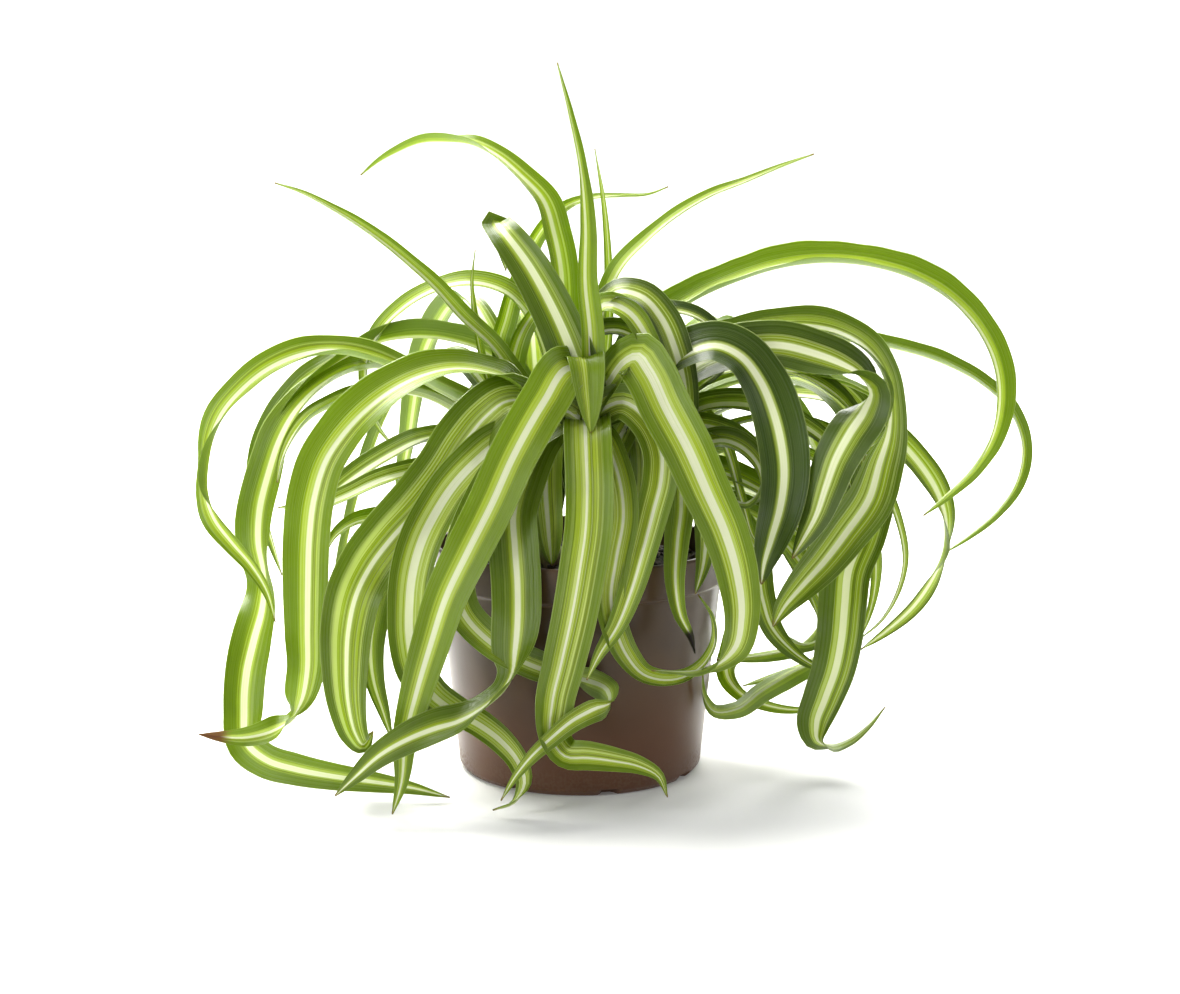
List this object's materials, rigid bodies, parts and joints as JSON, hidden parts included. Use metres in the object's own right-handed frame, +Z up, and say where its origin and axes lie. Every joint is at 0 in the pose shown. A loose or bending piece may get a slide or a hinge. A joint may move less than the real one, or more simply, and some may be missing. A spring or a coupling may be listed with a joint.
{
  "type": "potted spider plant",
  "caption": "Curly variegated spider plant with long arching striped leaves, standing in a round brown plastic nursery pot filled with potting soil.",
  "frame": {"origin": "centre of the pot's flat underside, on the surface the pot stands on", "axes": "+Z up along the pot's axis, -Y towards the viewer at the plant's front, +X to that viewer's right"},
  "size_m": [0.352, 0.2358, 0.2889],
  "materials": {
    "pot_plastic": "dark brown thin-walled polypropylene, slightly glossy",
    "potting_soil": null,
    "leaf": null
  },
  "bodies": {
    "root": {"pot": "pot_plastic", "soil": "potting_soil", "rosette_front": "leaf", "rosette_left": "leaf", "rosette_right": "leaf"}
  },
  "joints": []
}
